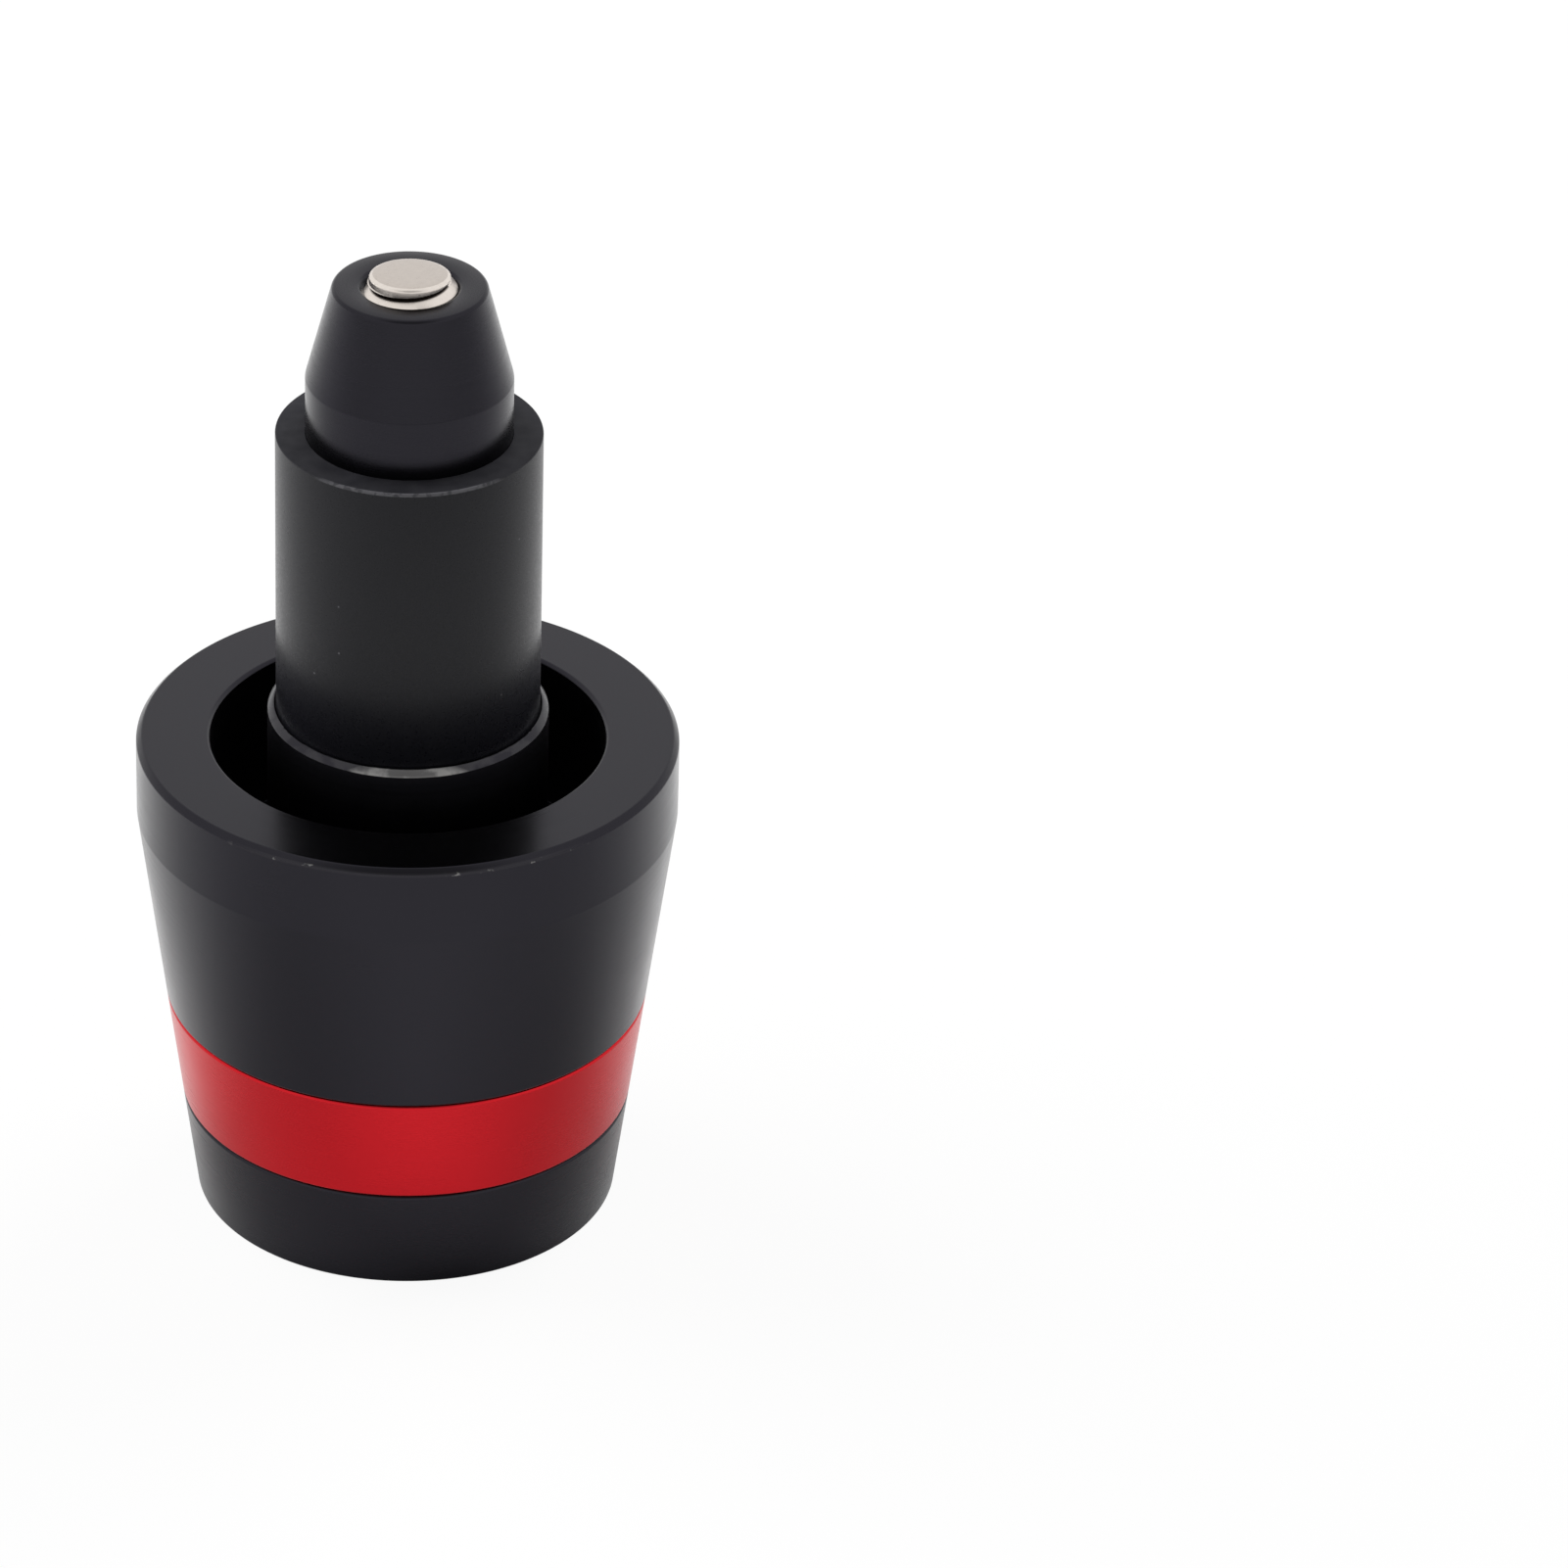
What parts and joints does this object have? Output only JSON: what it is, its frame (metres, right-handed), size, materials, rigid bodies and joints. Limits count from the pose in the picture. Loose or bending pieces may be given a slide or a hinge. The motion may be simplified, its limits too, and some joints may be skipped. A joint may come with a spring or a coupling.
{
  "type": "bar end weight",
  "caption": "Tapered handlebar end weight with a dished cap and a coloured ring, held in the bar by a screw that draws a wedge nut into a rubber sleeve.",
  "frame": {"origin": "middle of the flat rim of the small end, which the weight stands on, on the axis of the screw", "axes": "+Z along the screw, from the end cap towards the nose of the wedge nut; +X and +Y are any square pair across it, with two corners of the hex socket on X"},
  "size_m": [0.034, 0.034, 0.0648],
  "materials": {
    "black_anodised": "satin black anodising over fine turning marks",
    "red_anodised": "satin red anodising",
    "black_rubber": "smooth satin rubber",
    "bright_steel": "turned and polished"
  },
  "bodies": {
    "weight": {"end_cap": "black_anodised", "accent_ring": "red_anodised", "weight_body": "black_anodised", "expander_sleeve": "black_rubber"},
    "screw": {"clamp_screw": "bright_steel"},
    "nut": {"wedge_nut": "black_anodised"}
  },
  "joints": [
    {"name": "screw_turn", "type": "hinge", "parent": "weight", "child": "screw", "pos_m": [0, 0, 0.0048], "axis": [0, 0, 1], "range_deg": [-1080, 540]},
    {"name": "nut_draw", "type": "slide", "parent": "weight", "child": "nut", "axis": [0, 0, 1], "range_m": [-0.0015, 0.003]}
  ],
  "couplings": [
    {"joint": "nut_draw", "follows": "screw_turn", "m_per_rad": -0.00015915}
  ]
}
